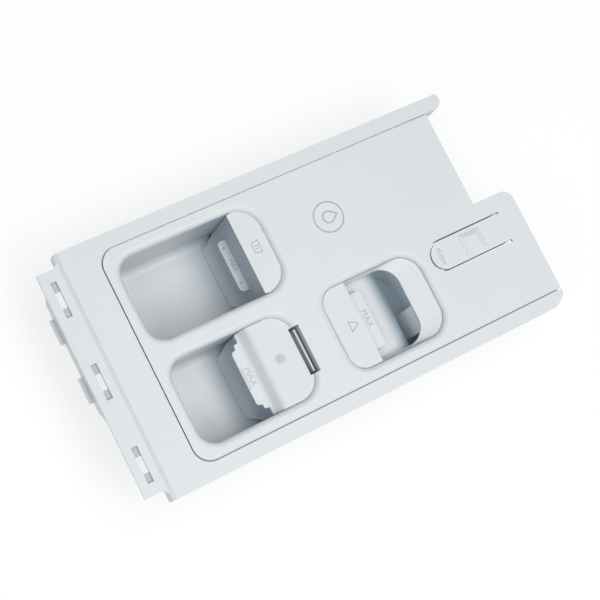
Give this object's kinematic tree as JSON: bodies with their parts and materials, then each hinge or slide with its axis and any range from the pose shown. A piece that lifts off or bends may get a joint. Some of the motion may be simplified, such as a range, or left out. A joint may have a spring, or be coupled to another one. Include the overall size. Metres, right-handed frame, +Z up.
{
  "type": "detergent dispenser drawer",
  "caption": "Pull-out washing machine dispenser drawer with a flush tray of rounded wells, siphon caps, side rails, a slotted front flange and a sprung release tongue.",
  "frame": {"origin": "under the middle of the drawer's box, on the plane that the bottoms of the wells stand on", "axes": "+Z up, +Y from the front flange to the rear, +X to the right of the user who pulls the drawer"},
  "size_m": [0.169, 0.3242, 0.0538],
  "materials": {
    "frame_plastic": "satin moulded",
    "tray_plastic": "satin moulded",
    "cap_plastic": "satin moulded"
  },
  "bodies": {
    "drawer": {"drawer_frame": "frame_plastic", "inner_tray": "tray_plastic", "detergent_cap": "cap_plastic", "softener_cap": "cap_plastic", "bleach_cap": "cap_plastic"},
    "latch": {"push_latch": "tray_plastic"}
  },
  "joints": [
    {"name": "latch_press", "type": "hinge", "parent": "drawer", "child": "latch", "pos_m": [0.0195, 0.14608, 0.0495], "axis": [1, 0, 0], "range_deg": [0, 6], "stiffness_Nm_per_rad": 4}
  ]
}
